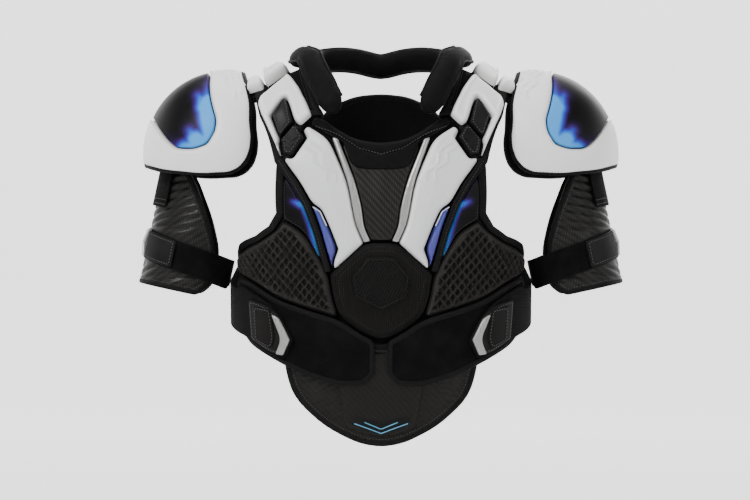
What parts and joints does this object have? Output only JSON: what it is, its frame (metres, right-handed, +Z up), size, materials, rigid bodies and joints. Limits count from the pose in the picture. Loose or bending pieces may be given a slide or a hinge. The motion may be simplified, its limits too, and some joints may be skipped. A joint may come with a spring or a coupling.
{
  "type": "ice hockey shoulder pads",
  "caption": "Padded protective vest for ice hockey with shoulder caps, hinged clavicle flaps, strapped upper-arm guards, side belts and a sliding belly extension.",
  "frame": {"origin": "on the wearer's mid plane at the height of the base of the neck, midway between chest and back", "axes": "+Z up, +X towards the wearer's left, which is the viewer's right from the front, and the wearer faces -Y"},
  "size_m": [0.5398, 0.2805, 0.4452],
  "materials": {
    "black_foam": "matte knitted lining over foam",
    "black_mesh": "spacer mesh with diamond holes over foam",
    "white_shell": "satin white synthetic leather over moulded foam",
    "carbon": "dark woven-fibre print under a clear gloss film",
    "graphic": "printed black to purple to sky blue fade",
    "accent": "blue-violet satin film",
    "silver": "silver film",
    "velour": "deep black brushed loop fabric",
    "elastic": "black woven elastic",
    "rubber": "matte moulded synthetic rubber"
  },
  "bodies": {
    "vest": {"chest_liner": "black_foam", "back_liner": "black_foam", "yoke_liner_left": "black_foam", "yoke_liner_right": "black_foam", "neck_collar": "black_foam", "neck_trim": "black_foam", "sternum_plate": "carbon", "sternum_shield": "rubber", "shield_badge": "carbon", "spine_guard": "carbon", "chest_arch_left": "white_shell", "chest_arch_right": "white_shell", "arch_accent_left": "accent", "arch_accent_right": "accent", "graphic_panel_left": "graphic", "graphic_panel_right": "graphic", "mesh_pad_left": "black_mesh", "mesh_pad_right": "black_mesh", "sternum_trim_left": "silver", "sternum_trim_right": "silver", "hinge_link_left": "rubber", "hinge_link_right": "rubber", "belt_landing_left": "velour", "belt_landing_right": "velour", "belt_side_left": "elastic", "belt_side_right": "elastic", "scapula_plate_left": "white_shell", "scapula_plate_right": "white_shell", "lumbar_pad_left": "black_mesh", "lumbar_pad_right": "black_mesh", "shoulder_arch_left": "white_shell", "shoulder_arch_right": "white_shell", "arch_link_left": "white_shell", "arch_link_right": "white_shell"},
    "clavicle_flap_left": {"clavicle_plate_left": "white_shell", "clavicle_hinge_left": "rubber"},
    "shoulder_cap_left": {"cap_shell_left": "white_shell", "cap_graphic_left": "graphic", "cap_foam_left": "black_foam"},
    "arm_guard_left": {"bicep_guard_left": "carbon", "bicep_elastic_left": "elastic", "hanger_strap_left": "elastic"},
    "arm_strap_left": {"bicep_strap_left": "velour", "bicep_tag_left": "rubber"},
    "side_belt_left": {"belt_strap_left": "elastic", "belt_tab_left": "rubber"},
    "clavicle_flap_right": {"clavicle_plate_right": "white_shell", "clavicle_hinge_right": "rubber"},
    "shoulder_cap_right": {"cap_shell_right": "white_shell", "cap_graphic_right": "graphic", "cap_foam_right": "black_foam"},
    "arm_guard_right": {"bicep_guard_right": "carbon", "bicep_elastic_right": "elastic", "hanger_strap_right": "elastic"},
    "arm_strap_right": {"bicep_strap_right": "velour", "bicep_tag_right": "rubber"},
    "side_belt_right": {"belt_strap_right": "elastic", "belt_tab_right": "rubber"},
    "belly_extension": {"extension_pad": "black_mesh", "extension_panel": "black_foam"}
  },
  "joints": [
    {"name": "clavicle_lift_left", "type": "hinge", "parent": "vest", "child": "clavicle_flap_left", "pos_m": [0.11925, -0.06809, 0.041], "axis": [-0.6979, 0.389, 0.6013], "range_deg": [0, 20]},
    {"name": "cap_lift_left", "type": "hinge", "parent": "vest", "child": "shoulder_cap_left", "pos_m": [0.15, 0, 0.0545], "axis": [0, -1, 0], "range_deg": [0, 60]},
    {"name": "arm_guard_swing_left", "type": "hinge", "parent": "shoulder_cap_left", "child": "arm_guard_left", "pos_m": [0.204, 0.002, -0.052], "axis": [0, -1, 0], "range_deg": [0, 24]},
    {"name": "arm_strap_open_left", "type": "hinge", "parent": "arm_guard_left", "child": "arm_strap_left", "pos_m": [0.16855, -0.0227, -0.17091], "axis": [0.2079, 0, -0.9781], "range_deg": [0, 40]},
    {"name": "belt_open_left", "type": "hinge", "parent": "vest", "child": "side_belt_left", "pos_m": [0.16001, -0.05854, -0.20929], "axis": [0, 0, 1], "range_deg": [0, 60]},
    {"name": "clavicle_lift_right", "type": "hinge", "parent": "vest", "child": "clavicle_flap_right", "pos_m": [-0.11925, -0.06809, 0.041], "axis": [-0.6979, -0.389, -0.6013], "range_deg": [0, 20]},
    {"name": "cap_lift_right", "type": "hinge", "parent": "vest", "child": "shoulder_cap_right", "pos_m": [-0.15, 0, 0.0545], "axis": [0, 1, 0], "range_deg": [0, 60]},
    {"name": "arm_guard_swing_right", "type": "hinge", "parent": "shoulder_cap_right", "child": "arm_guard_right", "pos_m": [-0.204, 0.002, -0.052], "axis": [0, 1, 0], "range_deg": [0, 24]},
    {"name": "arm_strap_open_right", "type": "hinge", "parent": "arm_guard_right", "child": "arm_strap_right", "pos_m": [-0.16855, -0.0227, -0.17091], "axis": [0.2079, 0, 0.9781], "range_deg": [0, 40]},
    {"name": "belt_open_right", "type": "hinge", "parent": "vest", "child": "side_belt_right", "pos_m": [-0.16001, -0.05854, -0.20929], "axis": [0, 0, -1], "range_deg": [0, 60]},
    {"name": "belly_extension_slide", "type": "slide", "parent": "vest", "child": "belly_extension", "axis": [0, 0.0995, -0.995], "range_m": [0, 0.04]}
  ]
}
